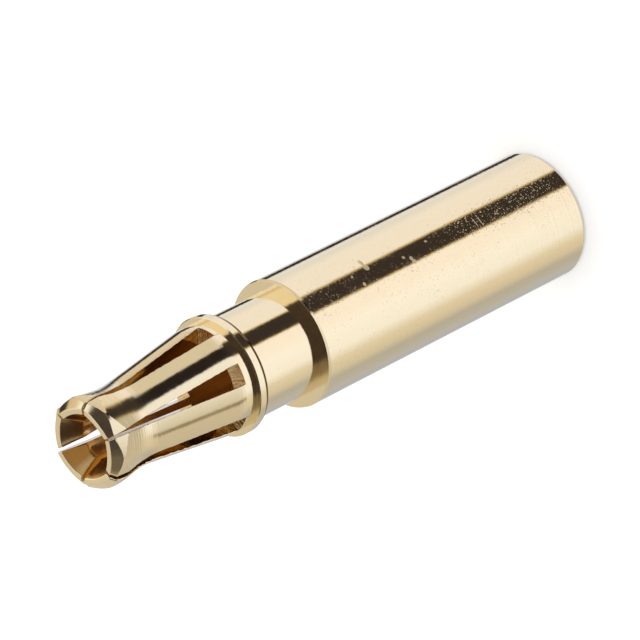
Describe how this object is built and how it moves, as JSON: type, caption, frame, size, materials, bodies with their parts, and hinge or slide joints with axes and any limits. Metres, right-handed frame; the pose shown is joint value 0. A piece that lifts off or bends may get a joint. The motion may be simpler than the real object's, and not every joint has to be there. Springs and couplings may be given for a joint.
{
  "type": "crimp socket contact",
  "caption": "Slim turned contact with a plain crimp barrel, a clip neck, a collar and slotted spring fingers with flared lips that grip a mating pin.",
  "frame": {"origin": "centre of the rear face of the crimp barrel, on which the contact stands", "axes": "+Z along the contact from the wire end to the mouth; +X through the middle of one spring finger"},
  "size_m": [0.006, 0.006, 0.0285],
  "materials": {
    "gold_plating": "bright gold plating over turned brass"
  },
  "bodies": {
    "root": {"socket_contact": "gold_plating"}
  },
  "joints": []
}
